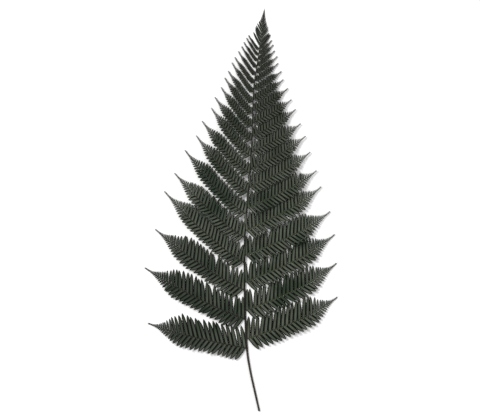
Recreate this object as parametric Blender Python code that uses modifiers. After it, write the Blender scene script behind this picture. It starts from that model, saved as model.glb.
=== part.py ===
"""One bracken frond, cut and laid flat on a surface, with its upper side up.

The frond is a grooved stalk, twenty pinnae on each side of it, and the toothed tip that ends it.
A pinna is a thin blade cut into pinnules along a raised midrib. All lengths are in metres.
X runs across the frond, Y from the cut end towards the tip, and Z up from the surface, which is Z = 0.
The pieces are laid out from the point where the leafy blade begins, then moved so that the origin is
on the surface, under the middle of the frond.
"""

import math

import bmesh
import bpy
import numpy as np

# The whole frond
BLADE_LENGTH = 0.506
CUT_END_Y = -0.090
TIP_LENGTH = 0.058
PAIRS = 20
LEFT, RIGHT = -1, 1
MIDDLE = (-0.0085293, 0.2078449)

# The stalk's centreline across the frond: (distance along Y, sideways place)
CENTRELINE = (
    (CUT_END_Y, 0.0180),
    (-0.060, 0.0112),
    (-0.030, 0.0046),
    (0.0, 0.0),
    (0.060, -0.0030),
    (0.120, -0.0038),
    (0.180, -0.0028),
    (0.250, 0.0035),
    (0.320, 0.0074),
    (0.385, 0.0098),
    (0.430, 0.0160),
    (BLADE_LENGTH, 0.0260),
)
STALK_RADII = ((CUT_END_Y, 0.00140), (0.0, 0.00160), (0.250, 0.00115), (BLADE_LENGTH, 0.00040))
STALK_STATIONS = 28
FLAT_TO = 0.030
ARCH_HEIGHT = 0.0060

# The stalk's section, in stalk radii: a flat underside, round flanks and a grooved top
SECTION = (
    (-1.00, -0.10),
    (-0.62, 0.85),
    (0.0, 0.55),
    (0.62, 0.85),
    (1.00, -0.10),
    (0.55, -0.80),
    (-0.55, -0.80),
)
UNDERSIDE = 0.80
JOIN_HEIGHT = 1.05
JOIN_GAP = 0.0003

# Where the pinnae stand: the distance from a pair to the tip shrinks at each step
FIRST_TO_TIP = {LEFT: 0.503, RIGHT: 0.489}
SHRINK, SHRINK_POWER = 0.090, 1.07
PINNA_SHARE = {LEFT: 0.425, RIGHT: 0.395}
LOWEST_LOSS = {LEFT: 3.6, RIGHT: 3.2}
LONGEST_AT = 0.320
TOOTHED_PAIRS = 13
SQUARE_TOOTH_PAIRS = 5

# Pinnules
PINNULE_ANGLE = math.radians(64)
PINNULE_LENGTH = 0.0255
PINNULE_LENGTH_AT = 0.447
ROOM_SHARE = 0.70
TIP_SIDE_REACH, FOOT_SIDE_REACH = 1.14, 0.74
LARGEST_PITCH = 0.0067
PITCH_POWER = 0.35
SHORTEST_PITCH = 0.0022
TAIL_FROM = 0.86
PLAIN_WIDTH_SHARE = 0.70
TOOTH_TIP_SHARE = 0.20

# The undivided blades in the tip
TIP_BARE = 0.0040
TIP_BLADE_SHARE = 0.38
TIP_BLADE_ANGLE = math.radians(38)

# Thickness, and how a pinna hangs from its midrib
MIDRIB_THICK = 0.0010
BLADE_THICK_SHARE = 0.45
MIDRIB_HALF_WIDTH = 0.0008
ROLL = 0.140
DROOP = 0.040
MIDRIB_ARCH = 0.020
LOWEST_BLADE = 0.00028
LOWEST_MIDRIB = 0.00055
COSTA_STEPS = 60


def smooth_between(points, at):
    """A smooth curve's value at one place, through hand-set (place, value) points."""
    places = [p for p, _ in points]
    values = [v for _, v in points]
    last = len(points) - 1
    i = min(max(np.searchsorted(places, at) - 1, 0), last - 1)

    def slope(j):
        a, b = max(j - 1, 0), min(j + 1, last)
        return (values[b] - values[a]) / (places[b] - places[a])

    span = places[i + 1] - places[i]
    t = (at - places[i]) / span
    rise = values[i + 1] - values[i]
    eased = t * t * (3 - 2 * t)
    return (
        values[i]
        + rise * eased
        + span * slope(i) * t * (1 - t) ** 2
        - span * slope(i + 1) * t * t * (1 - t)
    )


def ease(value):
    """0 below 0, 1 above 1, and a smooth step between them."""
    t = min(max(value, 0.0), 1.0)
    return t * t * (3 - 2 * t)


def unevenness(pair, side, which):
    """A fixed number from -1 to 1 that makes each pinna a little unlike the next."""
    return math.sin(2.399 * pair + 1.3 * side + 5.1 * which + 0.7 * pair * which)


def stalk_x(y):
    return smooth_between(CENTRELINE, y)


def stalk_radius(y):
    return float(np.interp(y, [p for p, _ in STALK_RADII], [r for _, r in STALK_RADII]))


def stalk_lift(y):
    """How far the stalk's underside stands above the surface: it arches between its foot and its tip."""
    share = (y - FLAT_TO) / (BLADE_LENGTH - FLAT_TO)
    return ARCH_HEIGHT * math.sin(math.pi * min(max(share, 0.0), 1.0)) ** 2


def stalk_z(y):
    return stalk_lift(y) + UNDERSIDE * stalk_radius(y)


def to_tip(side, pair):
    """Distance along Y from the foot of this pinna to the frond's tip."""
    return FIRST_TO_TIP[side] * math.exp(-SHRINK * pair**SHRINK_POWER)


def pinna_length(side, pair):
    distance = to_tip(side, pair)
    low_down = max(distance - LONGEST_AT, 0.0)
    share = PINNA_SHARE[side] - LOWEST_LOSS[side] * low_down**2
    return distance * share * (1 + 0.035 * unevenness(pair, side, 1))


def headings(side, pair, shares):
    """How far above the horizontal a pinna's midrib points, in radians, at shares of its length."""
    up = 1 - to_tip(side, pair) / BLADE_LENGTH
    if side == RIGHT:
        foot, early, late = 19 + 11 * up + 110 * up**14, 2, 22 - 10 * up
    else:
        rise = 1 - math.exp(-up / 0.17)
        foot, early, late = 10 + 23 * rise + 12 * up**2, 15 * rise, 9
    start = 1 - (1 - shares) ** 5
    angle = foot + 1.6 * (1 - 0.6 * up) * unevenness(pair, side, 2) + early * start + late * shares**3
    return np.radians(angle)


class Midrib:
    """A midrib as a curve in space: place, heading and height at each distance along it."""

    def __init__(self, side, xs, ys, zs, heading):
        steps = np.hypot(np.diff(xs), np.diff(ys))
        self.side = side
        self.along = np.concatenate([[0.0], np.cumsum(steps)])
        self.length = float(self.along[-1])
        self.xs, self.ys, self.zs, self.heading = xs, ys, zs, heading

    def at(self, along, values):
        return float(np.interp(along, self.along, values))

    def place(self, along, out):
        """The point at this distance along the midrib and out from it. Out is + on the tip side."""
        heading = self.at(along, self.heading)
        beyond = max(along - self.length, 0.0)
        x = self.at(along, self.xs) + (beyond * math.cos(heading) - out * math.sin(heading)) * self.side
        y = self.at(along, self.ys) + beyond * math.sin(heading) + out * math.cos(heading)
        z = self.at(along, self.zs) - ROLL * out - DROOP * abs(out)
        lowest = LOWEST_MIDRIB if abs(out) <= MIDRIB_HALF_WIDTH else LOWEST_BLADE
        return (x, y, max(z, lowest))

    def clears_stalk(self, along, out):
        x, y, _ = self.place(along, out)
        return abs(x - stalk_x(y)) > stalk_radius(y) + 3 * JOIN_GAP


def pinna_midrib(side, pair):
    length = pinna_length(side, pair)
    foot_y = BLADE_LENGTH - to_tip(side, pair)
    shares = np.linspace(0.0, 1.0, COSTA_STEPS)
    heading = headings(side, pair, shares)
    step = length / (COSTA_STEPS - 1)
    middles = (heading[1:] + heading[:-1]) / 2
    corner = MIDRIB_HALF_WIDTH * math.sin(heading[0])
    foot_x = stalk_x(foot_y) + side * (stalk_radius(foot_y) + JOIN_GAP + corner)
    xs = foot_x + side * step * np.concatenate([[0.0], np.cumsum(np.cos(middles))])
    ys = foot_y + step * np.concatenate([[0.0], np.cumsum(np.sin(middles))])

    foot_z = stalk_lift(foot_y) + JOIN_HEIGHT * stalk_radius(foot_y)
    end_z = LOWEST_MIDRIB + 0.5 * stalk_lift(foot_y)
    arch = MIDRIB_ARCH * length
    zs = foot_z + (end_z - foot_z) * shares + 4 * arch * shares * (1 - shares)
    return Midrib(side, xs, ys, zs, heading)


def tip_midrib():
    """The frond's tip carries straight on from the stalk."""
    foot_y = BLADE_LENGTH - TIP_LENGTH + JOIN_GAP
    ys = np.linspace(foot_y, BLADE_LENGTH, COSTA_STEPS)
    xs = np.array([stalk_x(y) for y in ys])
    heading = np.arctan2(np.gradient(ys), np.gradient(xs))
    zs = np.linspace(stalk_z(foot_y), LOWEST_BLADE, COSTA_STEPS)
    return Midrib(RIGHT, xs, ys, zs, heading)


def pinnule_length(side, pair):
    """The longest pinnule on a pinna. Near the frond's tip the next pinna leaves it less room."""
    distance = to_tip(side, pair)
    wanted = PINNULE_LENGTH * math.sqrt(distance / PINNULE_LENGTH_AT)
    spacing = distance - to_tip(side, pair + 1)
    room = spacing * math.cos(headings(side, pair, 0.4))
    return min(wanted, ROOM_SHARE * room)


def length_profile(share):
    """Pinnule length along a pinna, from foot to tip, as a share of the longest."""
    return (1 - 0.93 * ease((share - 0.56) / 0.40)) * (1 - 0.40 * ease((share - 0.85) / 0.15))


def tooth_starts(side, pair, length):
    """Where the pinnules begin along a pinna. They stand closer towards its tip."""
    pitch = LARGEST_PITCH * (to_tip(side, pair) / FIRST_TO_TIP[side]) ** PITCH_POWER
    starts = [0.0]
    while starts[-1] < TAIL_FROM * length:
        here = length_profile(starts[-1] / length)
        starts.append(starts[-1] + max(pitch * (0.25 + 0.75 * here), SHORTEST_PITCH))
    return starts


def tooth(midrib, start, end, sign, reach, angle, square):
    """One pinnule's outline on one edge of the midrib. It leans out as far as the stalk needs."""
    half = TOOTH_TIP_SHARE * (end - start)
    corners = ((half, -half), (-half, half)) if square else ((0.0, 0.0),)
    for lean in np.arange(angle, 0.2, -0.04):
        along = (start + end) / 2 + reach * math.cos(lean)
        out = MIDRIB_HALF_WIDTH + reach * math.sin(lean)
        tips = [
            (along + back * math.sin(lean), sign * (out + up * math.cos(lean))) for back, up in corners
        ]
        if all(midrib.clears_stalk(*tip) for tip in tips):
            break
    edge = sign * MIDRIB_HALF_WIDTH
    return [(start, edge), (end, edge), *tips]


def toothed_faces(midrib, starts, reach_at, angle, square):
    """A midrib strip with a pinnule on each side at every step, and a plain tapering tail."""
    half = MIDRIB_HALF_WIDTH
    faces = []
    for start, end in zip(starts, starts[1:]):
        faces.append([(start, -half), (end, -half), (end, half), (start, half)])
        reach = reach_at((start + end) / 2)
        if not reach:
            continue
        for sign, longer in ((-1, FOOT_SIDE_REACH), (1, TIP_SIDE_REACH)):
            faces.append(tooth(midrib, start, end, sign, longer * reach, angle, square))
    last, length = starts[-1], midrib.length
    waist = last + 0.45 * (length - last)
    faces.append([(last, -half), (waist, -0.6 * half), (waist, 0.6 * half), (last, half)])
    faces.append([(waist, -0.6 * half), (length, 0.0), (waist, 0.6 * half)])
    return faces


def plain_faces(midrib, widest, rows=9):
    """A small undivided pinna: a narrow pointed blade, folded a little along its midrib."""
    lines = []
    for share in np.linspace(0.0, 1.0, rows, endpoint=False):
        along = share * midrib.length
        width = widest * length_profile(share) * (0.30 + 0.70 * ease(share / 0.12))
        lower, upper = FOOT_SIDE_REACH * width, TIP_SIDE_REACH * width
        while upper > 0.0002 and not midrib.clears_stalk(along, upper):
            upper *= 0.9
        lines.append([(along, -lower), (along, 0.0), (along, upper)])
    lines.append([(midrib.length, 0.0)])
    faces = []
    for low, high in zip(lines, lines[1:]):
        if len(high) == 1:
            high = high * 3
        for side in (0, 1):
            corners = [low[side], high[side], high[side + 1], low[side + 1]]
            faces.append(list(dict.fromkeys(corners)))
    return faces


def leaf_object(name, midrib, faces, material, parts):
    """A thin solid from flat outlines. A vertex group makes the midrib thicker than the blade."""
    sheet = bmesh.new()
    corners = {}
    weights = []
    for face in faces:
        for corner in face:
            if corner not in corners:
                corners[corner] = sheet.verts.new(midrib.place(*corner))
                near_midrib = abs(corner[1]) <= MIDRIB_HALF_WIDTH and corner[0] < midrib.length
                weights.append(1.0 if near_midrib else BLADE_THICK_SHARE)
        sheet.faces.new([corners[corner] for corner in face])
    bmesh.ops.recalc_face_normals(sheet, faces=sheet.faces)
    data = bpy.data.meshes.new(name)
    sheet.to_mesh(data)
    sheet.free()
    obj = bpy.data.objects.new(name, data)
    parts.objects.link(obj)
    group = obj.vertex_groups.new(name="thickness")
    for index, weight in enumerate(weights):
        group.add([index], weight, "REPLACE")
    shell = obj.modifiers.new("thickness", "SOLIDIFY")
    shell.thickness = MIDRIB_THICK
    shell.offset = 0.0
    shell.vertex_group = group.name
    data.materials.append(material)
    return obj


def make_stalk(material, parts, helpers):
    """Stipe and rachis in one grown piece: a section with a flat underside, swept along the centreline."""
    section = bpy.data.curves.new("stalk_section", "CURVE")
    outline = section.splines.new("POLY")
    outline.points.add(len(SECTION) - 1)
    for point, (across, up) in zip(outline.points, SECTION):
        point.co = (across, up, 0.0, 1.0)
    outline.use_cyclic_u = True
    section_object = bpy.data.objects.new("stalk_section", section)
    section_object.hide_render = True
    section_object.display_type = "WIRE"
    helpers.objects.link(section_object)

    curve = bpy.data.curves.new("stalk", "CURVE")
    curve.dimensions = "3D"
    curve.twist_mode = "Z_UP"
    curve.bevel_mode = "OBJECT"
    curve.bevel_object = section_object
    curve.use_fill_caps = True
    line = curve.splines.new("POLY")
    line.points.add(STALK_STATIONS - 1)
    last_y = BLADE_LENGTH - TIP_LENGTH
    for point, y in zip(line.points, np.linspace(CUT_END_Y, last_y, STALK_STATIONS)):
        point.co = (stalk_x(y), y, stalk_z(y), 1.0)
        point.radius = stalk_radius(y)
    obj = bpy.data.objects.new("stalk", curve)
    parts.objects.link(obj)
    curve.materials.append(material)
    return obj


def make_pinna(side, pair, material, parts):
    midrib = pinna_midrib(side, pair)
    longest = pinnule_length(side, pair)
    if pair < TOOTHED_PAIRS:
        starts = tooth_starts(side, pair, midrib.length)
        faces = toothed_faces(
            midrib,
            starts,
            reach_at=lambda along: longest * length_profile(along / midrib.length),
            angle=PINNULE_ANGLE,
            square=pair < SQUARE_TOOTH_PAIRS,
        )
    else:
        faces = plain_faces(midrib, PLAIN_WIDTH_SHARE * longest)
    name = f"pinna_{'left' if side == LEFT else 'right'}_{pair + 1:02d}"
    return leaf_object(name, midrib, faces, material, parts)


def make_tip(material, parts):
    """Above the last pair the pinnae are narrow blades that run together into one piece."""
    midrib = tip_midrib()

    def blade_reach(along):
        return TIP_BLADE_SHARE * (midrib.length - along) if along > TIP_BARE else 0.0

    starts = [0.0, TIP_BARE]
    while midrib.length - starts[-1] > 0.006:
        starts.append(starts[-1] + SHRINK * (midrib.length - starts[-1]) + 0.0008)
    faces = toothed_faces(
        midrib,
        starts,
        reach_at=blade_reach,
        angle=TIP_BLADE_ANGLE,
        square=False,
    )
    return leaf_object("frond_tip", midrib, faces, material, parts)


def plain_material(name, colour, roughness):
    material = bpy.data.materials.new(name)
    material.use_nodes = True
    shader = material.node_tree.nodes["Principled BSDF"]
    shader.inputs["Base Color"].default_value = (*colour, 1.0)
    shader.inputs["Roughness"].default_value = roughness
    shader.inputs["Metallic"].default_value = 0.0
    return material


def clear_scene():
    for obj in list(bpy.data.objects):
        bpy.data.objects.remove(obj)


def collection(name):
    made = bpy.data.collections.new(name)
    bpy.context.scene.collection.children.link(made)
    return made


def main():
    clear_scene()
    parts = collection("bracken_frond")
    helpers = collection("helpers")
    leaf = plain_material("leaf_green", (0.030, 0.045, 0.026), 0.55)
    bark = plain_material("stalk_brown", (0.055, 0.036, 0.026), 0.60)
    make_stalk(bark, parts, helpers)
    for side in (LEFT, RIGHT):
        for pair in range(PAIRS):
            make_pinna(side, pair, leaf, parts)
    make_tip(leaf, parts)
    for obj in parts.objects:
        obj.location = (-MIDDLE[0], -MIDDLE[1], 0.0)
    bpy.context.view_layer.update()


main()
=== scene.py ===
# %% [markdown]
# # A bracken frond, lying flat
#
# Bracken is a large fern. One leaf of it is a *frond*: a brown stalk with side leaves, called *pinnae*,
# in pairs. Each pinna has a thin midrib with a row of small leaflets, called *pinnules*, on each side.
# This lesson grows the frond the way the plant does: one rule says where the pinnae stand, a second
# says where the pinnules stand on a pinna, and a third draws one pinnule.
#
# We start by loading the frame, which is the solid model that the looks are fitted round. Its box is
# kept.

# %% Load the frame
import math

import bpy
import numpy as np
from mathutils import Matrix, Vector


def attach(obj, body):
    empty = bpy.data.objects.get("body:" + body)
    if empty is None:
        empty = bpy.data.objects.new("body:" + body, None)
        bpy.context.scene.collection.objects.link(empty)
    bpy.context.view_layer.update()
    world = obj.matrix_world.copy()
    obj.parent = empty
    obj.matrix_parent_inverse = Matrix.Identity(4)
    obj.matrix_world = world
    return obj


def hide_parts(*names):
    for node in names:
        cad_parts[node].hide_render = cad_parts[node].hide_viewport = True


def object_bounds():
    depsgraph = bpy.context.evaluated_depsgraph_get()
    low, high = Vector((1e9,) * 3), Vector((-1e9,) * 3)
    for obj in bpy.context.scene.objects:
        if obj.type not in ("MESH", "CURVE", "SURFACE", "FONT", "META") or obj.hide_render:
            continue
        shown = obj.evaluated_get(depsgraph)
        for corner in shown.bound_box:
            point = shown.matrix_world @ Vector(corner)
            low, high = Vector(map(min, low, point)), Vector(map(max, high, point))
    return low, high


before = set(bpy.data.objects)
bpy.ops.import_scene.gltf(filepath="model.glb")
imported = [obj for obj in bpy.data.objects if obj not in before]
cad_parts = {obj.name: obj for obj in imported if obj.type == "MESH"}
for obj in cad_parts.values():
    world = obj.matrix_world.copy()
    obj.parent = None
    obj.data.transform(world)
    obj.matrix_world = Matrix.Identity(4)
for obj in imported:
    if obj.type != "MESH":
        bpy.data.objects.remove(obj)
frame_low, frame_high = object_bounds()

print("frame:", len(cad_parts), "nodes,", [round(v, 4) for v in frame_high - frame_low], "m")

# %% [markdown]
# ## The plan of the frond
#
# A frond could be drawn by eye, pinna by pinna. It is better grown from numbers, because a fern repeats
# itself: from one pair of pinnae to the next, the distance to the tip shrinks by about a tenth, and the
# pinnae shrink with it. These are the frame's own driving sizes, so each detailed pinna comes out
# exactly where the frame's plain one is. All lengths are in metres.

# %% The stalk's sizes
# Places are measured along the frond. The lowest pinnae start near 0, and the cut end is below them.
BLADE_LENGTH = 0.506
CUT_END_Y = -0.090
TIP_LENGTH = 0.058
PAIRS = 20
LEFT, RIGHT = -1, 1
MIDDLE = (-0.0085293, 0.2078449)

CENTRELINE = np.array((
    (CUT_END_Y, 0.0180), (-0.060, 0.0112), (-0.030, 0.0046), (0.0, 0.0), (0.060, -0.0030),
    (0.120, -0.0038), (0.180, -0.0028), (0.250, 0.0035), (0.320, 0.0074), (0.385, 0.0098),
    (0.430, 0.0160), (BLADE_LENGTH, 0.0260),
))
STALK_RADII = np.array(
    ((CUT_END_Y, 0.00140), (0.0, 0.00160), (0.250, 0.00115), (BLADE_LENGTH, 0.00040))
)
FLAT_TO = 0.030
ARCH_HEIGHT = 0.0060
UNDERSIDE = 0.80
JOIN_HEIGHT = 1.05
JOIN_GAP = 0.0003

print("from the cut to the tip:", round(BLADE_LENGTH - CUT_END_Y, 3), "m")

# %% [markdown]
# The pinnae need few numbers of their own: how far the lowest ones stand from the tip, how fast that
# distance shrinks, what share of it a pinna is long, and how much the lowest ones fall short of that.
# The pinnules need a length, a spacing and a slant, and `ROLL` and `DROOP` tilt them out of the flat.

# %% The sizes of pinnae and pinnules
FIRST_TO_TIP = {LEFT: 0.503, RIGHT: 0.489}
SHRINK, SHRINK_POWER = 0.090, 1.07
PINNA_SHARE = {LEFT: 0.425, RIGHT: 0.395}
LOWEST_LOSS = {LEFT: 3.6, RIGHT: 3.2}
LONGEST_AT = 0.320

PINNULE_ANGLE = math.radians(64)
PINNULE_LENGTH = 0.0255
PINNULE_LENGTH_AT = 0.447
ROOM_SHARE = 0.70
LARGEST_PITCH = 0.0067
PITCH_POWER = 0.35
MIDRIB_HALF_WIDTH = 0.0008
ROLL, DROOP = 0.140, 0.040
MIDRIB_ARCH = 0.020
LOWEST_MIDRIB = 0.00055

print(PAIRS, "pairs of pinnae; the longest pinnules are", PINNULE_LENGTH, "m before they vary")

# %% [markdown]
# Two small helpers come first. `ease` is a soft step, which nature prefers to a sharp one. The other
# runs a smooth curve through a few given points: it is how the stalk gets its slow bend.

# %% Soft steps and smooth curves
def ease(value):
    t = np.clip(value, 0.0, 1.0)
    return t * t * (3 - 2 * t)


def smooth_through(points, at):
    """A smooth curve through (place, value) points, read at one or many places."""
    places, values = points[:, 0], points[:, 1]
    slopes = np.empty(len(places))
    slopes[1:-1] = (values[2:] - values[:-2]) / (places[2:] - places[:-2])
    slopes[0] = (values[1] - values[0]) / (places[1] - places[0])
    slopes[-1] = (values[-1] - values[-2]) / (places[-1] - places[-2])
    i = np.clip(np.searchsorted(places, at) - 1, 0, len(places) - 2)
    span = places[i + 1] - places[i]
    t = (at - places[i]) / span
    rise = (values[i + 1] - values[i]) * t * t * (3 - 2 * t)
    return (
        values[i] + rise + span * slopes[i] * t * (1 - t) ** 2 - span * slopes[i + 1] * t * t * (1 - t)
    )


def stalk_x(y):
    return smooth_through(CENTRELINE, y)


def stalk_radius(y):
    return np.interp(y, STALK_RADII[:, 0], STALK_RADII[:, 1])


def stalk_lift(y):
    """The stalk lies on the surface at its foot, arches a little, and comes down again at the tip."""
    share = np.clip((y - FLAT_TO) / (BLADE_LENGTH - FLAT_TO), 0.0, 1.0)
    return ARCH_HEIGHT * np.sin(math.pi * share) ** 2


print("the stalk arches", round(float(stalk_lift(0.268)) * 1000, 1), "mm at its middle")

# %% [markdown]
# ## Where each pinna stands, and how it leans
#
# The left pinnae of this frond rise more steeply than the right ones, as they do on a frond that dried
# while lying on one side. `unevenness` gives each pinna its own small, fixed difference: plants are
# regular, but never exactly so.

# %% Pinna places, lengths and headings
LENGTH_UNEVENNESS = 0.035
HEADING_UNEVENNESS = 1.6


def unevenness(pair, side, which):
    return math.sin(2.399 * pair + 1.3 * side + 5.1 * which + 0.7 * pair * which)


def to_tip(side, pair):
    """Distance along the frond from this pinna's foot to the frond's tip."""
    return FIRST_TO_TIP[side] * math.exp(-SHRINK * pair**SHRINK_POWER)


def pinna_length(side, pair):
    distance = to_tip(side, pair)
    share = PINNA_SHARE[side] - LOWEST_LOSS[side] * max(distance - LONGEST_AT, 0.0) ** 2
    return distance * share * (1 + LENGTH_UNEVENNESS * unevenness(pair, side, 1))


def headings(side, pair, shares):
    """How far a midrib turns from straight across towards the tip, in radians, at shares of its length.

    `foot` is where it starts, in degrees, `early` is what it gains at once and `late` near its end.
    """
    up = 1 - to_tip(side, pair) / BLADE_LENGTH
    if side == RIGHT:
        foot, early, late = 19 + 11 * up + 110 * up**14, 2, 22 - 10 * up
    else:
        rise = 1 - math.exp(-up / 0.17)
        foot, early, late = 10 + 23 * rise + 12 * up**2, 15 * rise, 9
    foot += HEADING_UNEVENNESS * (1 - 0.6 * up) * unevenness(pair, side, 2)
    return np.radians(foot + early * (1 - (1 - shares) ** 5) + late * shares**3)


for side, word in ((LEFT, "left"), (RIGHT, "right")):
    lengths = [round(pinna_length(side, pair) * 1000) for pair in (0, 6, 12, 19)]
    print(word, "pinnae 1, 7, 13 and 20 are", lengths, "mm long")

# %% [markdown]
# ## A midrib is a small coordinate system
#
# Every pinnule is easier to draw flat, on paper, with one axis along the midrib and one out from it.
# The `Midrib` class turns such a flat point into a place in space. The pinna rolls a little about its
# midrib, so its lower edge lies over the pinna below and its upper edge tucks under the one above, like
# roof tiles. That is how neighbours can overlap without cutting through each other.

# %% The midrib
class Midrib:
    def __init__(self, side, xs, ys, zs, heading):
        steps = np.hypot(np.diff(xs), np.diff(ys))
        self.side = side
        self.along = np.concatenate([[0.0], np.cumsum(steps)])
        self.length = float(self.along[-1])
        self.xs, self.ys, self.zs, self.heading = xs, ys, zs, heading

    def at(self, along, values):
        return np.interp(along, self.along, values)

    def place(self, along, out, up):
        """Flat points to points in space: distance along, distance out (+ on the tip side), height."""
        heading = self.at(along, self.heading)
        beyond = np.maximum(along - self.length, 0.0) + np.minimum(along, 0.0)
        x = self.at(along, self.xs) + (beyond * np.cos(heading) - out * np.sin(heading)) * self.side
        y = self.at(along, self.ys) + beyond * np.sin(heading) + out * np.cos(heading)
        z = self.at(along, self.zs) - ROLL * out - DROOP * np.abs(out) + up
        return np.stack([x - MIDDLE[0], y - MIDDLE[1], z], axis=-1)


STEPS = 60
END_LIFT_SHARE = 0.5


def pinna_midrib(side, pair):
    length = pinna_length(side, pair)
    foot_y = BLADE_LENGTH - to_tip(side, pair)
    shares = np.linspace(0.0, 1.0, STEPS)
    heading = headings(side, pair, shares)
    step = length / (STEPS - 1)
    middles = (heading[1:] + heading[:-1]) / 2
    corner = MIDRIB_HALF_WIDTH * math.sin(heading[0])
    foot_x = stalk_x(foot_y) + side * (stalk_radius(foot_y) + JOIN_GAP + corner)
    xs = foot_x + side * step * np.concatenate([[0.0], np.cumsum(np.cos(middles))])
    ys = foot_y + step * np.concatenate([[0.0], np.cumsum(np.sin(middles))])
    foot_z = stalk_lift(foot_y) + JOIN_HEIGHT * stalk_radius(foot_y)
    end_z = LOWEST_MIDRIB + END_LIFT_SHARE * stalk_lift(foot_y)
    zs = foot_z + (end_z - foot_z) * shares + 4 * MIDRIB_ARCH * length * shares * (1 - shares)
    return Midrib(side, xs, ys, zs, heading)


print("the lowest left midrib is", round(pinna_midrib(LEFT, 0).length, 3), "m long")

# %% [markdown]
# The tip's midrib is the stalk's own line carried on, so it takes its places and its heading from
# there. It comes down to the surface as it goes.

# %% The tip's midrib
def tip_midrib():
    foot_y = BLADE_LENGTH - TIP_LENGTH + JOIN_GAP
    ys = np.linspace(foot_y, BLADE_LENGTH, STEPS)
    xs = stalk_x(ys)
    heading = np.arctan2(np.gradient(ys), np.gradient(xs))
    start_z = stalk_lift(foot_y) + UNDERSIDE * stalk_radius(foot_y)
    zs = np.linspace(start_z, LOWEST_MIDRIB, STEPS)
    return Midrib(RIGHT, xs, ys, zs, heading)


print("the tip's midrib is", round(tip_midrib().length, 3), "m long")

# %% [markdown]
# The x range of one midrib, from where it starts to where it ends.

# %% Where a midrib starts and ends
test = pinna_midrib(RIGHT, 3)
foot_x, end_x = (round(float(test.xs[i] - MIDDLE[0]), 4) for i in (0, -1))
print("midrib from x", foot_x, "to", end_x)

# %% [markdown]
# ## One pinnule
#
# A bracken pinnule is a narrow, bluntly pointed leaflet, up to 30 mm long and 6 mm wide. Its midvein is
# a groove on top, each half between groove and edge is gently domed, and the edge is rolled under. The
# margin has small scallops. A dense sculpt could hold all that, but there are more than a thousand
# pinnules. So each one is a grid of points, seven across and up to 28 along, laid out as (share of the
# length, share of the half width), and only its outline and its heights are computed.

# %% The pinnule's columns, outline and profile
COLUMNS = np.array((-1.0, -0.80, -0.42, 0.0, 0.42, 0.80, 1.0))
COLUMN_HEIGHTS = np.array((-0.55, 0.45, 1.0, -0.25, 1.0, 0.45, -0.55))
CROWN = 0.150
SCALLOP = 0.055
ROW_LENGTH = 0.0008
SCALLOP_ROWS = 3
LEAST_ROWS, MOST_ROWS = 6, 27
NARROWEST = 0.07


def pinnule_rows(length):
    scallops = round(length / ROW_LENGTH / SCALLOP_ROWS)
    return int(np.clip(scallops * SCALLOP_ROWS, LEAST_ROWS, MOST_ROWS))


def pinnule_outline(shares, scallop):
    """Half width along a pinnule, as a share of the widest: full at the base, blunt at the tip."""
    shoulders = 0.90 + 0.10 * ease(shares / 0.2)
    scallops = 1 + scallop * np.cos(2 * math.pi * np.arange(len(shares)) / SCALLOP_ROWS)
    return np.maximum(shoulders * (1 - shares**4.6) ** 0.66, NARROWEST) * scallops


print("a 20 mm pinnule has", pinnule_rows(0.020) + 1, "rows of", len(COLUMNS), "points")

# %% [markdown]
# ## Collecting a pinna as one sheet
#
# A pinna is one grown piece, so all its pinnules and its midrib go into one mesh. `Sheet` gathers grids
# of points until the mesh is made. Along with each point it keeps what the materials need later: where
# the point is on its own pinnule, in metres, how near it is to the edge, from 0 to 1, and a tint shared
# by the whole pinnule. Kept on the mesh as attributes, these stay with the leaf however it is placed.

# %% Gather grids into one mesh
BLADE, MIDRIB_SKIN = 0, 2
BLADE_THICK, MIDRIB_THICK = 0.00026, 0.00090


class Sheet:
    def __init__(self):
        self.points, self.faces, self.skins = [], [], []
        self.weights, self.across, self.along, self.tints, self.edges = [], [], [], [], []
        self.count = 0

    def add_grid(self, points, flip, skin, weight, across, along, tint, edge):
        rows, columns = points.shape[:2]
        index = self.count + np.arange(rows * columns).reshape(rows, columns)
        corners = [index[:-1, :-1], index[1:, :-1], index[1:, 1:], index[:-1, 1:]]
        if flip:
            corners = corners[::-1]
        quads = np.stack([c.ravel() for c in corners], axis=1)
        self.points.append(points.reshape(-1, 3))
        self.faces.append(quads)
        self.skins.append(np.full(len(quads), skin))
        for store, value in (
            (self.weights, weight), (self.across, across), (self.along, along), (self.tints, tint),
            (self.edges, edge),
        ):
            store.append(np.broadcast_to(value, (rows, columns)).ravel())
        self.count += rows * columns

    def to_object(self, name, materials):
        mesh = bpy.data.meshes.new(name)
        mesh.from_pydata(np.concatenate(self.points).tolist(), [], np.concatenate(self.faces).tolist())
        kept = {"across": self.across, "along": self.along, "tint": self.tints, "edge": self.edges}
        for label, store in kept.items():
            layer = mesh.attributes.new(label, "FLOAT", "POINT")
            layer.data.foreach_set("value", np.concatenate(store).astype(np.float32))
        mesh.polygons.foreach_set("material_index", np.concatenate(self.skins).astype(np.int32))
        mesh.polygons.foreach_set("use_smooth", np.ones(len(mesh.polygons), bool))
        for material in materials:
            mesh.materials.append(material)
        obj = bpy.data.objects.new(name, mesh)
        bpy.context.scene.collection.objects.link(obj)
        group = obj.vertex_groups.new(name="thickness")
        weights = np.concatenate(self.weights)
        for value in np.unique(weights):
            group.add(np.flatnonzero(weights == value).tolist(), float(value), "REPLACE")
        return obj


print("an empty sheet has", Sheet().count, "points; grids add theirs")

# %% [markdown]
# The sheet has no thickness yet. Blender's **Solidify** modifier gives it one, and its vertex group
# makes the midrib thicker than the blade. Its material offset also puts the next material in the list
# on the underside, which is how the paler back of the leaf gets a finish of its own.

# %% Turn a sheet into a thin solid
def thicken(obj):
    shell = obj.modifiers.new("leaf_thickness", "SOLIDIFY")
    shell.thickness = MIDRIB_THICK
    shell.offset = -1.0
    shell.vertex_group = "thickness"
    shell.material_offset = 1
    shell.material_offset_rim = 1


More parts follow.
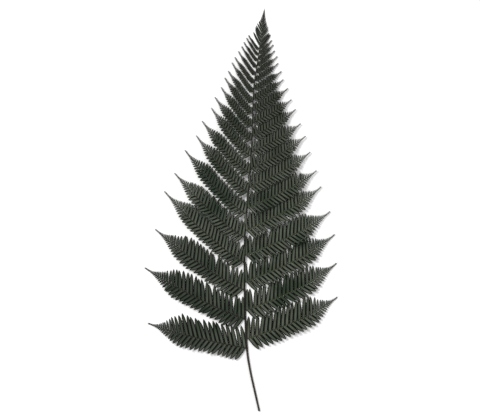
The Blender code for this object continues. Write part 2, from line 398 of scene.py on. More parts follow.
thick, thin = round(MIDRIB_THICK * 1000, 2), round(BLADE_THICK * 1000, 2)
print("midribs get", thick, "mm of thickness and blades", thin, "mm")

# %% [markdown]
# ## Placing one pinnule on its midrib
#
# The pinnule's axis leans towards the pinna's tip. Its base is sheared so that it meets the midrib
# along its whole width instead of at one corner, and its tip sweeps forward a little. A few small
# random turns, from a seeded generator so that every run gives the same frond, keep the rows lively.
# The first pinnules beside the stalk lie on it, so points near the stalk are lifted to its top.

# %% Draw one pinnule
dice = np.random.default_rng(11)
BLADE_WEIGHT = BLADE_THICK / MIDRIB_THICK
LOWEST_TOP = BLADE_THICK + 0.00006
SOFT_ROOM = 0.0012
SOFT_TOP = frame_high.z - SOFT_ROOM
STALK_TOP, STALK_ROUNDING, STALK_REACH = 1.75, 0.45, 1.6
LEAN_SPREAD = 1.5
LENGTH_SPREAD = 0.03
TWIST, TWIST_SPREAD = 0.10, 0.05
CURL, CURL_SPREAD = 0.015, 0.03
SWEEP, SWEEP_SPREAD = 0.05, 0.03
FOOT_DOME, FULL_DOME_AT = 0.35, 0.15


def rest_on_things(points):
    """Lifts points that would go through the stalk or the surface that the frond lies on."""
    x, y = points[..., 0] + MIDDLE[0], points[..., 1] + MIDDLE[1]
    radius = stalk_radius(y)
    beside = np.abs(x - stalk_x(y)) / radius
    round_top = STALK_TOP - STALK_ROUNDING * np.clip(beside, 0, STALK_REACH) ** 2
    top = stalk_lift(y) + radius * round_top + BLADE_THICK
    over = (beside < STALK_REACH) & (y < BLADE_LENGTH - TIP_LENGTH)
    points[..., 2] = np.where(over, np.maximum(points[..., 2], top), points[..., 2])
    points[..., 2] = np.maximum(points[..., 2], LOWEST_TOP)
    too_high = np.maximum(points[..., 2] - SOFT_TOP, 0.0)
    points[..., 2] -= too_high * too_high / (too_high + SOFT_ROOM)
    return points


def add_pinnule(sheet, midrib, start, sign, lean, length, half_width, base_out, scallop=SCALLOP):
    lean += math.radians(dice.normal(0, LEAN_SPREAD))
    length *= 1 + dice.normal(0, LENGTH_SPREAD)
    twist = dice.normal(TWIST, TWIST_SPREAD)
    curl = dice.normal(CURL, CURL_SPREAD)
    sweep = dice.normal(SWEEP, SWEEP_SPREAD)
    rows = pinnule_rows(length)
    t = np.linspace(0.0, 1.0, rows + 1)[:, None]
    outline = pinnule_outline(t[:, 0], scallop)[:, None]
    across = COLUMNS[None, :] * half_width * outline
    along = t * length - (1 - t) ** 3 * across / math.tan(lean)
    side_shift = across - sweep * length * t**2
    flat_along = start + along * math.cos(lean) - side_shift * math.sin(lean)
    flat_out = sign * (base_out + along * math.sin(lean) + side_shift * math.cos(lean))
    rising = FOOT_DOME + (1 - FOOT_DOME) * ease(t / FULL_DOME_AT)
    domes = COLUMN_HEIGHTS[None, :] * CROWN * half_width * rising
    up = domes + twist * across + curl * length * t**2
    points = rest_on_things(midrib.place(flat_along, flat_out, up))
    flip = (midrib.side < 0) != (sign < 0)
    tint = dice.uniform(0, 1)
    sheet.add_grid(points, flip, BLADE, BLADE_WEIGHT, across, along, tint, np.abs(COLUMNS)[None, :])


print("points above", round(SOFT_TOP * 1000, 1), "mm are eased down")

# %% [markdown]
# ## The midrib's own surface
#
# From above a bracken midrib is a thin rib with a shallow groove. Five columns of points are enough for
# it: two edges at the height of the blade, two shoulders and the groove. It ends as fine as a hair.

# %% Draw the midrib strip
RIB_COLUMNS = np.array((-1.0, -0.55, 0.0, 0.55, 1.0))
RIB_HEIGHTS = np.array((-0.10, 0.34, 0.10, 0.34, -0.10))
RIB_WEIGHTS = np.array((0.3, 0.8, 1.0, 0.8, 0.3))
RIB_ROW_LENGTH, LEAST_RIB_ROWS = 0.0022, 12
RIB_HEIGHT_SHARE, RIB_LIFT = 1.3, 0.0001
RIB_FOOT_LIFT = 0.0003
RIB_THINNING = 0.6


def rib_half_width(share):
    """Tapers evenly, and over the last tenth down to a hair."""
    return MIDRIB_HALF_WIDTH * (0.90 - 0.45 * share - 0.35 * ease((share - 0.9) / 0.1))


def add_rib(sheet, midrib, root, tint, narrowed=1.0):
    rows = max(int(midrib.length / RIB_ROW_LENGTH), LEAST_RIB_ROWS)
    along = np.linspace(-root, midrib.length, rows)[:, None]
    share = np.clip(along / midrib.length, 0.0, 1.0)
    half = rib_half_width(share) * narrowed
    out = RIB_COLUMNS[None, :] * half
    up = RIB_HEIGHTS[None, :] * half * RIB_HEIGHT_SHARE + RIB_LIFT
    points = midrib.place(along, out, up)
    points[..., 2] = np.maximum(points[..., 2], LOWEST_TOP + RIB_FOOT_LIFT * (1 - share))
    weight = np.round(RIB_WEIGHTS[None, :] * (1 - RIB_THINNING * share), 2)
    edge = np.abs(RIB_COLUMNS)[None, :]
    sheet.add_grid(points, midrib.side < 0, MIDRIB_SKIN, weight, out, along, tint, edge)


foot_width, end_width = (round(2000 * float(rib_half_width(share)), 2) for share in (0.0, 1.0))
print("a midrib is", foot_width, "mm wide at its foot and", end_width, "mm at its end")

# %% [markdown]
# ## A whole pinna
#
# Pinnules keep their full length over the first half of a pinna and then shrink to small teeth in its
# thin tail. They stand closer as they get shorter. On the low, large pinnae a narrow gap shows between
# them. On the small pinnae near the frond's tip they meet.

# %% Pinnule sizes along a pinna
MIDDLE_SHARE = 0.4
SHRINK_FROM, SHRINK_OVER, SHRINK_LOSS = 0.56, 0.40, 0.93
END_FROM, END_OVER, END_LOSS = 0.85, 0.15, 0.40


def pinnule_length(side, pair):
    distance = to_tip(side, pair)
    wanted = PINNULE_LENGTH * math.sqrt(distance / PINNULE_LENGTH_AT)
    spacing = distance - to_tip(side, pair + 1)
    room = spacing * math.cos(headings(side, pair, MIDDLE_SHARE))
    return min(wanted, ROOM_SHARE * room)


def length_profile(share):
    """Full over the first half, then shrinking fast into the tail, and more at its very end."""
    shrunk = 1 - SHRINK_LOSS * ease((share - SHRINK_FROM) / SHRINK_OVER)
    return shrunk * (1 - END_LOSS * ease((share - END_FROM) / END_OVER))


CLOSEST_SHARE = 0.25
PITCH_LIMIT = 0.52
SMALLEST_PITCH = 0.0011
LAST_START = 0.985


def pinnule_starts(side, pair, length):
    pitch = LARGEST_PITCH * (to_tip(side, pair) / FIRST_TO_TIP[side]) ** PITCH_POWER
    longest = pinnule_length(side, pair)
    starts = [0.0]
    while starts[-1] < LAST_START * length:
        here = length_profile(starts[-1] / length)
        step = pitch * (CLOSEST_SHARE + (1 - CLOSEST_SHARE) * here)
        starts.append(starts[-1] + max(min(step, PITCH_LIMIT * longest * here), SMALLEST_PITCH))
    return starts


print("a large pinna has", 2 * len(pinnule_starts(LEFT, 2, pinna_length(LEFT, 2))), "pinnules")

# %% [markdown]
# Now the pinnules are set along a midrib, a pair to each step. Those on the side of the frond's tip are
# the longer ones. The first ones stand nearly along the stalk and the later ones lean more. Where
# pinnules meet they are wider than half of their spacing. A steep pinna leaves more room near the stalk
# than further out, so the pinnules on its lower side are made longer there.

# %% Set the pinnules along a midrib
SEPARATE_WIDTH, JOINED_WIDTH, TAIL_WIDTH = 0.46, 0.52, 0.34
JOINED_LOSS = 0.20
TIP_SIDE_LENGTH, FOOT_SIDE_LENGTH = 1.18, 0.78
TIP_SIDE_AT, FOOT_SIDE_AT = 0.18, 0.50
SMALLEST_LENGTH, WIDEST_SHARE = 0.0013, 0.36
FIRST_LEAN = math.radians(7)
BESIDE_STALK = math.radians(96)
BESIDE_STALK_EASING = 2.5
FIRST_LEAN_UNTIL = 0.25
TAIL_FROM, TAIL_OVER = 0.60, 0.25
BASE_SHARE = 0.5


def add_pinnules(sheet, midrib, starts, longest, joined):
    """Two rows of pinnules. The rows are a third of a step apart, as grown, not in strict pairs."""
    width_share = SEPARATE_WIDTH + (JOINED_WIDTH - SEPARATE_WIDTH) * joined
    longest *= 1 - JOINED_LOSS * joined
    middle_heading = midrib.at(MIDDLE_SHARE * midrib.length, midrib.heading)
    for start, end in zip(starts, starts[1:]):
        pitch = end - start
        for sign in (1, -1):
            middle = start + pitch * (TIP_SIDE_AT if sign > 0 else FOOT_SIDE_AT)
            share = min(middle / midrib.length, 1.0)
            side_share = TIP_SIDE_LENGTH if sign > 0 else FOOT_SIDE_LENGTH
            if sign < 0:
                heading = midrib.at(middle, midrib.heading)
                side_share *= math.cos(heading) / math.cos(middle_heading)
            length = max(longest * length_profile(share) * side_share, SMALLEST_LENGTH)
            narrowed = width_share + (TAIL_WIDTH - width_share) * ease((share - TAIL_FROM) / TAIL_OVER)
            half = min(narrowed * pitch, WIDEST_SHARE * length)
            base = BASE_SHARE * rib_half_width(share)
            lean = PINNULE_ANGLE + FIRST_LEAN * (1 - ease(share / FIRST_LEAN_UNTIL))
            if sign > 0:
                lean = min(lean, BESIDE_STALK - midrib.heading[0] + BESIDE_STALK_EASING * share)
            add_pinnule(sheet, midrib, middle, sign, lean, length, half, base)


print("rows of pinnules lean", round(math.degrees(PINNULE_ANGLE)), "degrees from their midrib")

# %% [markdown]
# ## The leaf's finish
#
# The dried leaf is a dull grey-green. Seen closely it is not one colour: each pinnule differs a little,
# pale patches of painted sheen lie on it, the edge and the groove get painted shade, and whole areas
# have kept more green. A painted picture would blur when enlarged, so the colour is built from nodes.
# The helper below adds one node and sets its inputs, which keeps the recipes short.

# %% A helper for material nodes
def add_node(tree, kind, **settings):
    """Adds a node. A setting named in_0, in_1 ... sets that input: a value, or a socket to link."""
    node = tree.nodes.new(kind)
    for key, value in settings.items():
        if key.startswith("in_"):
            socket = node.inputs[int(key[3:])]
            if isinstance(value, bpy.types.NodeSocket):
                tree.links.new(value, socket)
            else:
                socket.default_value = value
        else:
            setattr(node, key, value)
    return node


def new_material(name):
    material = bpy.data.materials.new(name)
    material.use_nodes = True
    tree = material.node_tree
    return material, tree, tree.nodes["Principled BSDF"]


trial, trial_tree, _ = new_material("trial")
print("a new material starts with", [node.name for node in trial_tree.nodes])
bpy.data.materials.remove(trial)

# %% [markdown]
# A recipe is mostly sums, ramps and blends. A ramp turns a measure into a share from 0 to 1, and a
# blend lays one colour over another by that share, as thin coats of paint would.

# %% Sums, ramps and blends
def maths(tree, operation, a, b=0.0, c=0.0):
    node = add_node(tree, "ShaderNodeMath", operation=operation, in_0=a, in_1=b, in_2=c)
    return node.outputs[0]


def ramp(tree, value, start, end):
    """0 up to the start, 1 from the end on, and even in between."""
    return add_node(tree, "ShaderNodeMapRange", in_0=value, in_1=start, in_2=end).outputs[0]


def blend_colour(tree, share, a, b):
    """Colour a where the share is 0, colour b where it is 1."""
    node = add_node(tree, "ShaderNodeMix", data_type="RGBA")
    for socket, value in ((node.inputs[0], share), (node.inputs[6], a), (node.inputs[7], b)):
        if isinstance(value, bpy.types.NodeSocket):
            tree.links.new(value, socket)
        else:
            socket.default_value = value if isinstance(value, float) else (*value, 1.0)
    return node.outputs[2]


def blend_by(tree, pattern, strongest, a, b):
    """The same, with the share made from a pattern of 0 to 1 times its strongest value."""
    return blend_colour(tree, maths(tree, "MULTIPLY", pattern, strongest), a, b)


print("a ramp from 0.25 to 0.75 turns 0.6 into", round(float(np.interp(0.6, (0.25, 0.75), (0, 1))), 2))

# %% [markdown]
# Patterns come from two sources: the measures that the sheets keep, and soft noise. The noise is read
# from the place on the object, so that it stays on the leaf from whichever side it is seen.

# %% Measures and noise
def attribute(tree, name):
    return add_node(tree, "ShaderNodeAttribute", attribute_name=name).outputs["Fac"]


def noise(tree, size, detail=3.0, seed=0.0):
    """Soft noise whose spots are about this size, in metres, fixed to the object."""
    where = add_node(tree, "ShaderNodeTexCoord").outputs["Object"]
    moved = add_node(tree, "ShaderNodeVectorMath", operation="ADD", in_0=where, in_1=(seed, seed, 0.0))
    node = add_node(tree, "ShaderNodeTexNoise", noise_dimensions="3D")
    tree.links.new(moved.outputs[0], node.inputs["Vector"])
    node.inputs["Scale"].default_value = 1.0 / size
    node.inputs["Detail"].default_value = detail
    return node.outputs["Fac"]


print("spots of 20 mm need a noise scale of", 1.0 / 0.020)

# %% [markdown]
# Gloss and fine relief follow the same patterns. A bump doesn't move the surface: it only tilts the
# light on it, which is right for veins a tenth of a millimetre high, and wrong for anything larger.

# %% Gloss and fine relief
def set_roughness(tree, shader, pattern, low, high):
    """Roughness from low to high, following a pattern of 0 to 1."""
    node = add_node(
        tree, "ShaderNodeMapRange", in_0=pattern, in_1=0.0, in_2=1.0, in_3=low, in_4=high
    )
    tree.links.new(node.outputs[0], shader.inputs["Roughness"])


def set_bump(tree, shader, height, strength, distance):
    node = add_node(tree, "ShaderNodeBump")
    node.inputs["Strength"].default_value = strength
    node.inputs["Distance"].default_value = distance
    tree.links.new(height, node.inputs["Height"])
    tree.links.new(node.outputs[0], shader.inputs["Normal"])


VEIN_HEIGHT, FIBRE_HEIGHT, STALK_FIBRE_HEIGHT = 0.00012, 0.00010, 0.00015
print("the veins stand", round(VEIN_HEIGHT * 1000, 2), "mm high")

# %% [markdown]
# The side veins leave the groove at a slant. In the pinnule's own measures that is a repeating line in
# `along` less the distance `across`, so one sine wave draws all of them. It drives the bump and,
# faintly, the colour.

# %% Side veins
VEIN_SPACING = 0.0011


def side_veins(tree):
    across = maths(tree, "ABSOLUTE", attribute(tree, "across"))
    slanted = maths(tree, "SUBTRACT", attribute(tree, "along"), across)
    turns = maths(tree, "MULTIPLY", slanted, 2 * math.pi / VEIN_SPACING)
    return maths(tree, "MULTIPLY_ADD", maths(tree, "SINE", turns), 0.5, 0.5)


print("a 20 mm pinnule has about", round(0.020 / VEIN_SPACING), "side veins on each side")

# %% [markdown]
# The ground colour goes from dark to grey with a fine mottle, and each layer above it has a pattern of
# its own: the pinnule's tint, the painted sheen, the areas that stayed green, the worn brown spots and the
# veins. The patterns come from soft noises of different sizes, from 1 mm up to 55 mm.

# %% The ground colour of the upper side
DARK_LEAF = (0.026, 0.034, 0.020)
LEAF_GREY = (0.108, 0.126, 0.088)
# The next colour is a painted sheen: a pale grey that stands in for light on the leaf.
PAINTED_SHEEN = (0.225, 0.242, 0.195)
KEPT_GREEN = (0.008, 0.030, 0.011)
WORN_BROWN = (0.034, 0.027, 0.018)
TINT_SHARE, PAINTED_SHEEN_SHARE, GREEN_SHARE, BROWN_SHARE, VEIN_SHARE = 0.55, 0.42, 0.80, 0.45, 0.22
PAINTED_SHEEN_SIZE, GREEN_SIZE, BROWN_SIZE = 0.020, 0.055, 0.009


def ground_colour(tree, mottle, veins):
    # Pale patches of painted sheen, spread by noise.
    painted_sheen = ramp(tree, noise(tree, PAINTED_SHEEN_SIZE, 3.0, 9.1), 0.35, 0.75)
    green = ramp(tree, noise(tree, GREEN_SIZE, 2.0, 3.7), 0.50, 0.68)
    brown = ramp(tree, noise(tree, BROWN_SIZE, 3.0, 5.3), 0.62, 0.80)
    colour = blend_colour(tree, ramp(tree, mottle, 0.25, 0.75), DARK_LEAF, LEAF_GREY)
    colour = blend_by(tree, attribute(tree, "tint"), TINT_SHARE, colour, LEAF_GREY)
    colour = blend_by(tree, painted_sheen, PAINTED_SHEEN_SHARE, colour, PAINTED_SHEEN)
    colour = blend_by(tree, green, GREEN_SHARE, colour, KEPT_GREEN)
    colour = blend_by(tree, brown, BROWN_SHARE, colour, WORN_BROWN)
    return blend_by(tree, veins, VEIN_SHARE, colour, DARK_LEAF)


print("the ground goes from", DARK_LEAF, "to", LEAF_GREY)

# %% [markdown]
# This frond is darker towards its tip, and its lowest left pinnae are darkened to a deep green by painted
# shade. Both are soft ramps over the whole frond, read from the place on the object. Last comes painted
# shade in the groove and on the rolled margin of each pinnule, from the `edge` measure.

# %% The upper side of the leaf
UPPER_DARK = (0.018, 0.019, 0.016)
# The next colour is painted shade, a deep green, for the lowest left pinnae.
LOW_LEFT_SHADE = (0.010, 0.020, 0.008)
# A near black for painted shade in the groove and on the rolled margin.
PAINTED_SHADE_DARK = (0.0020, 0.0032, 0.0014)
TIP_DARKENING, LOW_LEFT_SHADE_SHARE = 0.66, 0.68
MOTTLE_SIZE = 0.0012


def darker_areas(tree, colour):
    place = add_node(tree, "ShaderNodeTexCoord").outputs["Object"]
    sideways, upwards, _ = add_node(tree, "ShaderNodeSeparateXYZ", in_0=place).outputs
    towards_tip = ramp(tree, upwards, 0.00, 0.20)
    colour = blend_by(tree, towards_tip, TIP_DARKENING, colour, UPPER_DARK)
    # Painted shade over the lowest left pinnae, fading in towards the lower left.
    left, low = ramp(tree, sideways, 0.01, -0.09), ramp(tree, upwards, 0.02, -0.10)
    low_left_shade = maths(tree, "MULTIPLY", left, low)
    return blend_by(tree, low_left_shade, LOW_LEFT_SHADE_SHARE, colour, LOW_LEFT_SHADE)


def leaf_upper():
    material, tree, shader = new_material("leaf_upper_side")
    veins = side_veins(tree)
    mottle = noise(tree, MOTTLE_SIZE, 4.0)
    edge = attribute(tree, "edge")
    colour = darker_areas(tree, ground_colour(tree, mottle, veins))
    # Painted shade: the groove and the rolled margin are darkened, so the middle of each half stands out
    # light, like a sheen.
    colour = blend_colour(tree, ramp(tree, edge, 0.0, 0.12), PAINTED_SHADE_DARK, colour)
    colour = blend_colour(tree, ramp(tree, edge, 0.25, 0.60), colour, PAINTED_SHADE_DARK)
    tree.links.new(colour, shader.inputs["Base Color"])
    set_roughness(tree, shader, mottle, 0.40, 0.62)
    fine = maths(tree, "MULTIPLY", mottle, 0.5)
    set_bump(tree, shader, maths(tree, "MULTIPLY_ADD", veins, 0.6, fine), 0.55, VEIN_HEIGHT)
    shader.inputs["Specular IOR Level"].default_value = 0.10
    return material


upper_side = leaf_upper()
print("the upper side's recipe has", len(upper_side.node_tree.nodes), "nodes")

# %% [markdown]
# The underside is paler and woollier than the top, with the midvein standing up as a ridge. Its recipe
# is the same with fewer layers.

# %% The underside of the leaf
UNDER_GREY = (0.085, 0.092, 0.068)
UNDER_OLIVE = (0.042, 0.048, 0.031)
UNDER_TINT_SHARE, UNDER_VEIN_SHARE = 0.35, 0.25
FIBRE_SIZE = 0.0007


def leaf_under():
    material, tree, shader = new_material("leaf_underside")
    veins = side_veins(tree)
    fibres = noise(tree, FIBRE_SIZE, 5.0)
    colour = blend_colour(tree, ramp(tree, fibres, 0.3, 0.7), UNDER_OLIVE, UNDER_GREY)
    colour = blend_by(tree, attribute(tree, "tint"), UNDER_TINT_SHARE, colour, UNDER_OLIVE)
    colour = blend_by(tree, veins, UNDER_VEIN_SHARE, colour, UNDER_GREY)
    tree.links.new(colour, shader.inputs["Base Color"])
    set_roughness(tree, shader, fibres, 0.65, 0.85)
    set_bump(tree, shader, maths(tree, "MULTIPLY_ADD", veins, -0.6, fibres), 0.5, FIBRE_HEIGHT)
    shader.inputs["Specular IOR Level"].default_value = 0.3
    return material


underside = leaf_under()
print("the underside's recipe has", len(underside.node_tree.nodes), "nodes")

# %% [markdown]
# Most midribs have dried dark. A few low ones are still a yellowish green. The strip's `tint` says which,
# and streaks along it come from noise stretched lengthwise in the strip's own measures.

# %% The midrib's finish
RIB_DARK = (0.009, 0.009, 0.006)
RIB_BROWN = (0.030, 0.027, 0.016)
RIB_GREEN = (0.050, 0.072, 0.020)
RIB_UNDER_PALE = (0.13, 0.11, 0.07)


def streaks(tree, length, width, seed=0.0):
    """Noise stretched along a stalk or a rib, from its own along and across measures."""
    along = maths(tree, "DIVIDE", attribute(tree, "along"), length)
    across = maths(tree, "DIVIDE", attribute(tree, "across"), width)
    place = add_node(tree, "ShaderNodeCombineXYZ", in_0=along, in_1=across, in_2=seed)
    node = add_node(tree, "ShaderNodeTexNoise")
    tree.links.new(place.outputs[0], node.inputs["Vector"])
    node.inputs["Scale"].default_value = 1.0
    node.inputs["Detail"].default_value = 4.0
    return node.outputs["Fac"]


def rib_finish(name, darkest, palest):
    material, tree, shader = new_material(name)
    lines = streaks(tree, 0.006, 0.00025)
    colour = blend_colour(tree, ramp(tree, lines, 0.3, 0.75), darkest, palest)
    colour = blend_colour(tree, attribute(tree, "tint"), colour, RIB_GREEN)
    tree.links.new(colour, shader.inputs["Base Color"])
    set_roughness(tree, shader, lines, 0.40, 0.62)
    set_bump(tree, shader, lines, 0.5, FIBRE_HEIGHT)
    shader.inputs["Specular IOR Level"].default_value = 0.18
    return material


leaf_materials = [
    upper_side,
    underside,
    rib_finish("midrib_upper_side", RIB_DARK, RIB_BROWN),
    rib_finish("midrib_underside", RIB_BROWN, RIB_UNDER_PALE),
]
print("leaf finishes:", [material.name for material in leaf_materials])

# %% [markdown]
# ## Make the forty pinnae
#
# Each pinna takes the place of the frame's plain one.

# %% Say what a piece stands for
def register(piece, node):
    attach(piece, "root")
    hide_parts(node)


print("plain solids to stand in for:", len(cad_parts))

# %% [markdown]
# A pinna is a midrib strip with its pinnules, gathered in one sheet and thickened. Two soft steps over
# the pairs settle what changes on the way up the frond: how green the midribs are still, and how far
# the pinnules have run together.

# %% Grow the pinnae
GREEN_UP_TO_PAIR, GREEN_FADE, GREENEST = 9, 6, 0.5
JOINED_FROM_PAIR, JOINED_FADE = 8, 6
FULL_RIB_LENGTH = 0.11
RIB_ROOT = 0.0012


def rib_green(side, pair):
    """How green a midrib has stayed: some of the low ones have, and none near the tip."""
    by_chance = ease(0.35 + 0.9 * unevenness(pair, side, 6))
    return float(by_chance * ease((GREEN_UP_TO_PAIR - pair) / GREEN_FADE) * GREENEST)


def joined_share(pair):
    return float(ease((pair - JOINED_FROM_PAIR) / JOINED_FADE))


def make_pinna(side, pair):
    name = f"pinna_{'left' if side == LEFT else 'right'}_{pair + 1:02d}"
    midrib = pinna_midrib(side, pair)
    sheet = Sheet()
    narrowed = min((midrib.length / FULL_RIB_LENGTH) ** 0.7, 1.0)
    add_rib(sheet, midrib, RIB_ROOT, rib_green(side, pair), narrowed)
    starts = pinnule_starts(side, pair, midrib.length)
    add_pinnules(sheet, midrib, starts, pinnule_length(side, pair), joined_share(pair))
    obj = sheet.to_object(f"leafy_{name}", leaf_materials)
    thicken(obj)
    register(obj, name)
    return len(obj.data.polygons)


total = sum(make_pinna(side, pair) for side in (LEFT, RIGHT) for pair in range(PAIRS))
print("forty pinnae,", total, "faces before Solidify")

# %% [markdown]
# ## The frond's tip
#
# Above the last pair the pinnae are so small that they run together. They are drawn like pinnules, long
# and narrow, leaning far forward, with deeper scallops for teeth. The first are about a third as long
# as their distance from the tip, and the last ones less.

# %% Grow the tip
TIP_BARE = 0.0015
TIP_END_BARE = 0.0025
TIP_ROOT, TIP_RIB_NARROWED = 0.0010, 0.75
TIP_SCALLOP = 0.24
TIP_BLADE_SHARE = 0.38
TIP_BLADE_ANGLE = math.radians(38)
TIP_LEAST_PITCH = 0.0008
TIP_PLACES = {1: 0.35, -1: 0.15}
TIP_BLADE_FOOT = 0.0002
TIP_HALF_SHARE, TIP_WIDEST = 0.27, 0.30
TIP_SHORTEST, TIP_FULL_FROM = 0.55, 0.045


def tip_blade_length(left_over):
    full = ease(left_over / TIP_FULL_FROM)
    return TIP_BLADE_SHARE * left_over * (TIP_SHORTEST + (1 - TIP_SHORTEST) * full)


def make_tip():
    midrib = tip_midrib()
    sheet = Sheet()
    add_rib(sheet, midrib, TIP_ROOT, 0.0, TIP_RIB_NARROWED)
    start = TIP_BARE
    while midrib.length - start > TIP_END_BARE:
        left_over = midrib.length - start
        pitch = SHRINK * left_over + TIP_LEAST_PITCH
        length = tip_blade_length(left_over)
        half = min(TIP_HALF_SHARE * pitch, TIP_WIDEST * length)
        for sign, share in TIP_PLACES.items():
            middle = start + pitch * share
            add_pinnule(
                sheet, midrib, middle, sign, TIP_BLADE_ANGLE, length, half, TIP_BLADE_FOOT, TIP_SCALLOP
            )
        start += pitch
    obj = sheet.to_object("leafy_frond_tip", leaf_materials)
    thicken(obj)
    register(obj, "frond_tip")
    return len(obj.data.polygons)


print("the tip has", make_tip(), "faces before Solidify")

# %% [markdown]
# ## The stalk
#
# The stalk is smooth and fibrous, flat below and grooved above, with a small swelling where each pinna
# grows out. A bevelled curve could sweep one section along it, but a curve can't swell only at the
# joints, so the rings of points are computed one by one and joined up.

# %% The stalk's section
SECTION = np.array((
    (-1.00, -0.10), (-0.62, 0.85), (0.0, 0.55), (0.62, 0.85), (1.00, -0.10), (0.55, -0.80), (-0.55, -0.80),
))
SECTION_TOP = 0.85
RING_POINTS = 28
FINE_POINTS = 8 * RING_POINTS
SMOOTHINGS = 40


def round_section():
    """The seven corners as a smooth ring, by averaging the ring with itself shifted a little."""
    corners = np.vstack([SECTION, SECTION[:1]])
    steps = np.linspace(0, len(SECTION), FINE_POINTS, endpoint=False)
    ring = np.stack([np.interp(steps, np.arange(len(SECTION) + 1), corners[:, i]) for i in (0, 1)], 1)
    for _ in range(SMOOTHINGS):
        ring = (np.roll(ring, 1, 0) + np.roll(ring, -1, 0) + ring) / 3
    ring[:, 1] *= (SECTION_TOP + UNDERSIDE) / (ring[:, 1].max() - ring[:, 1].min())
    ring[:, 1] += -UNDERSIDE - ring[:, 1].min()
    ring[:, 0] *= 1.0 / ring[:, 0].max()
    return ring[:: len(ring) // RING_POINTS]


ring = round_section()
print("the stalk's section is", len(ring), "points")

# %% [markdown]
# Each ring of points is the section, scaled to the stalk's thickness there, turned square to its bend
# and lifted to its height. Small swellings and lumps keep the long sides from looking drawn.

# %% The stalk's surface points
RINGS = 300
SWELLING, SWELLING_LENGTH = 0.10, 0.0022
LUMPS, LUMP_RATE = 0.03, 190
DRIFT, DRIFT_RATE = 2.0, 61


def swelling(y):
    feet = np.array([BLADE_LENGTH - to_tip(s, p) for s in (LEFT, RIGHT) for p in range(PAIRS)])
    near = (np.asarray(y)[..., None] - feet) / SWELLING_LENGTH
    return 1 + SWELLING * np.exp(-(near**2)).max(axis=-1)


def stalk_points(ys):
    xs = stalk_x(ys)
    radius = stalk_radius(ys)[:, None]
    turn = np.arctan(np.gradient(xs, ys))[:, None]
    wide = radius * swelling(ys)[:, None]
    lumps = 1 + LUMPS * np.sin(ys * LUMP_RATE + DRIFT * np.sin(ys * DRIFT_RATE))[:, None]
    offset = ring[None, :, 0] * wide * lumps
    up = ring[None, :, 1] * np.where(ring[None, :, 1] > 0, wide, radius)
    x = xs[:, None] + offset * np.cos(turn) - MIDDLE[0]
    y = ys[:, None] - offset * np.sin(turn) - MIDDLE[1]
    z = np.maximum(stalk_lift(ys)[:, None] + UNDERSIDE * radius + up, 0.0)
    return np.stack([x, y, z], axis=-1)


lowest_foot = BLADE_LENGTH - to_tip(LEFT, 0)
print("at a pinna the stalk swells by", round(100 * float(swelling(lowest_foot) - 1)), "percent")

# %% [markdown]
# The rings become a skin of four-sided faces, and a fan of triangles closes each end. The middle of
# the cut end is set in a little, because the pith dries and shrinks. The faces of the cut get the
# second material in the list, and `along` and `across` are kept for the fibres, as on the leaf.

# %% Make the stalk
PITH_SET_IN = 0.00025


def stalk_mesh(points):
    count, around = points.shape[:2]
    index = np.arange(count * around).reshape(count, around)
    ahead = np.roll(index, -1, axis=1)
    corners = (index[:-1], index[1:], ahead[1:], ahead[:-1])
    faces = np.stack([c.ravel() for c in corners], axis=1).tolist()
    sides = len(faces)
    pith = points[0].mean(axis=0) + np.array((0.0, PITH_SET_IN, 0.0))
    end = points[-1].mean(axis=0)
    faces += [[count * around, int(index[0, i]), int(ahead[0, i])] for i in range(around)]
    faces += [[count * around + 1, int(ahead[-1, i]), int(index[-1, i])] for i in range(around)]
    mesh = bpy.data.meshes.new("fibrous_stalk")
    mesh.from_pydata(points.reshape(-1, 3).tolist() + [pith.tolist(), end.tolist()], [], faces)
    skins = np.zeros(len(faces), np.int32)
    skins[sides:sides + around] = 1
    mesh.polygons.foreach_set("material_index", skins)
    smooth = np.arange(len(faces)) < sides
    mesh.polygons.foreach_set("use_smooth", smooth)
    return mesh


def make_stalk(materials):
    ys = np.linspace(CUT_END_Y, BLADE_LENGTH - TIP_LENGTH, RINGS)
    mesh = stalk_mesh(stalk_points(ys))
    turns = np.concatenate([[0.0], np.cumsum(np.hypot(*np.diff(ring, axis=0).T))])
    across = np.concatenate([(turns[None, :] * stalk_radius(ys)[:, None]).ravel(), [0.0, 0.0]])
    along = np.concatenate([np.repeat(ys, RING_POINTS), [CUT_END_Y, ys[-1]]])
    for label, values in (("across", across), ("along", along)):
        layer = mesh.attributes.new(label, "FLOAT", "POINT")
        layer.data.foreach_set("value", values.astype(np.float32))
    for material in materials:
        mesh.materials.append(material)
    obj = bpy.data.objects.new("fibrous_stalk", mesh)
    bpy.context.scene.collection.objects.link(obj)
    return obj


print(RINGS, "rings of", RING_POINTS, "points")

# %% [markdown]
# Its finish is a warm dark brown with paler, slightly pinkish streaks along the fibres, darker towards
# the cut end and all along the rachis, which is the part between the pinnae. The cut itself shows pale
# dry pith with dark strands in it.

# %% The stalk's finishes
STALK_DARK = (0.009, 0.006, 0.004)
STALK_BROWN = (0.034, 0.023, 0.017)
STALK_PALE = (0.098, 0.070, 0.054)
PITH_PALE = (0.240, 0.180, 0.115)
PALE_SHARE, FOOT_DARKENING, RACHIS_DARKENING = 0.60, 0.75, 0.75
FOOT_LENGTH = 0.03


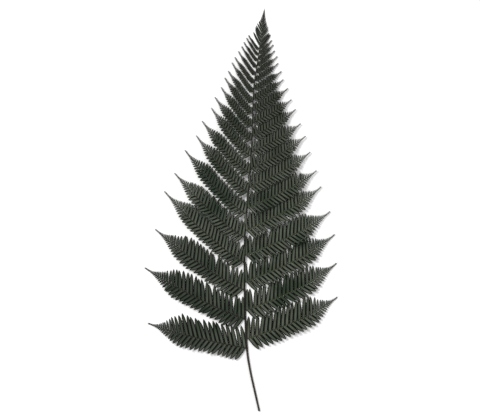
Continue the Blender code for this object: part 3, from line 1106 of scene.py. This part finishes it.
def stalk_skin():
    material, tree, shader = new_material("stalk_skin")
    along = attribute(tree, "along")
    fine = streaks(tree, 0.012, 0.00022)
    broad = streaks(tree, 0.045, 0.0016, seed=4.2)
    foot = ramp(tree, along, CUT_END_Y + FOOT_LENGTH, CUT_END_Y)
    rachis = ramp(tree, along, -0.03, 0.03)
    colour = blend_colour(tree, ramp(tree, broad, 0.35, 0.65), STALK_DARK, STALK_BROWN)
    colour = blend_by(tree, ramp(tree, fine, 0.50, 0.78), PALE_SHARE, colour, STALK_PALE)
    colour = blend_by(tree, foot, FOOT_DARKENING, colour, STALK_DARK)
    colour = blend_by(tree, rachis, RACHIS_DARKENING, colour, STALK_DARK)
    tree.links.new(colour, shader.inputs["Base Color"])
    set_roughness(tree, shader, fine, 0.36, 0.60)
    set_bump(tree, shader, maths(tree, "ADD", fine, broad), 0.6, STALK_FIBRE_HEIGHT)
    shader.inputs["Specular IOR Level"].default_value = 0.25
    return material


def cut_pith():
    material, tree, shader = new_material("cut_pith")
    strands = noise(tree, 0.00045, 2.0)
    colour = blend_colour(tree, ramp(tree, strands, 0.42, 0.58), STALK_DARK, PITH_PALE)
    tree.links.new(colour, shader.inputs["Base Color"])
    set_roughness(tree, shader, strands, 0.7, 0.9)
    return material


stalk = make_stalk([stalk_skin(), cut_pith()])
register(stalk, "stalk")
print("the stalk has", len(stalk.data.polygons), "faces")

# %% [markdown]
# ## Floor, light and camera
#
# The frond lies on a plain pale surface, a hair below it so that the two never flicker through each
# other.

# %% Lay the floor
FLOOR_SIZE, FLOOR_DROP = 6.0, 0.00015
PAPER = (0.90, 0.90, 0.89, 1.0)


def make_floor():
    mesh = bpy.data.meshes.new("pale_floor")
    half = FLOOR_SIZE / 2
    corners = [(-half, -half, 0.0), (half, -half, 0.0), (half, half, 0.0), (-half, half, 0.0)]
    mesh.from_pydata(corners, [], [[0, 1, 2, 3]])
    obj = bpy.data.objects.new("pale_floor", mesh)
    obj.location.z = -FLOOR_DROP
    bpy.context.scene.collection.objects.link(obj)
    material, _, shader = new_material("pale_paper")
    shader.inputs["Base Color"].default_value = PAPER
    shader.inputs["Roughness"].default_value = 0.9
    shader.inputs["Specular IOR Level"].default_value = 0.1
    mesh.materials.append(material)
    return obj


make_floor()
print("the floor is", FLOOR_SIZE, "m wide")

# %% [markdown]
# A thin leaf a few millimetres above a floor throws a narrow shadow. A large soft lamp keeps that
# shadow's edge soft, so it shows the depth without drawing hard lines. A big lamp from the upper left
# does the modelling, and a weaker one from the lower right opens up the shadows.

# %% Set the lights
def add_lamp(name, place, size, power):
    lamp = bpy.data.lights.new(name, "AREA")
    lamp.shape = "DISK"
    lamp.size = size
    lamp.energy = power
    obj = bpy.data.objects.new(name, lamp)
    obj.location = place
    direction = -obj.location
    obj.rotation_euler = direction.to_track_quat("-Z", "Y").to_euler()
    bpy.context.scene.collection.objects.link(obj)


add_lamp("upper_left_lamp", (-1.3, 0.9, 1.9), 0.9, 46.0)
add_lamp("low_right_fill", (1.6, -0.6, 1.2), 1.4, 9.0)

# %% [markdown]
# The rest of the light is an even, nearly white sky. It lights the leaf from all sides at once, as an
# overcast day does.

# %% Set the sky
SKY_COLOUR, SKY_STRENGTH = (0.98, 0.99, 1.0, 1.0), 0.62

world = bpy.data.worlds.new("soft_sky")
world.use_nodes = True
sky = world.node_tree.nodes["Background"]
sky.inputs["Color"].default_value = SKY_COLOUR
sky.inputs["Strength"].default_value = SKY_STRENGTH
bpy.context.scene.world = world
bpy.context.scene.view_settings.view_transform = "Standard"
print("sky strength", SKY_STRENGTH)

# %% [markdown]
# The camera looks straight down, from far enough that the frond hardly changes shape by perspective.
# Its height follows from the width it has to take in.

# %% Place the camera
VIEW_WIDTH = 0.7104
VIEW_CENTRE = (-0.0019, -0.0006)
LENS, SENSOR_WIDTH = 85.0, 36.0


def make_camera():
    data = bpy.data.cameras.new("camera")
    data.lens = LENS
    data.sensor_width = SENSOR_WIDTH
    camera = bpy.data.objects.new("camera", data)
    height = VIEW_WIDTH * LENS / SENSOR_WIDTH
    camera.location = (VIEW_CENTRE[0], VIEW_CENTRE[1], height)
    bpy.context.scene.collection.objects.link(camera)
    bpy.context.scene.camera = camera
    return height


print("the camera stands", round(make_camera(), 3), "m above the floor")

# %% [markdown]
# ## The frame's size
#
# The detailed frond has to be the size of the frame. The frame's box is printed.

# %% Write the sizes
bpy.context.view_layer.update()
print("frame  ", [round(v, 5) for v in (*frame_low, *frame_high)])
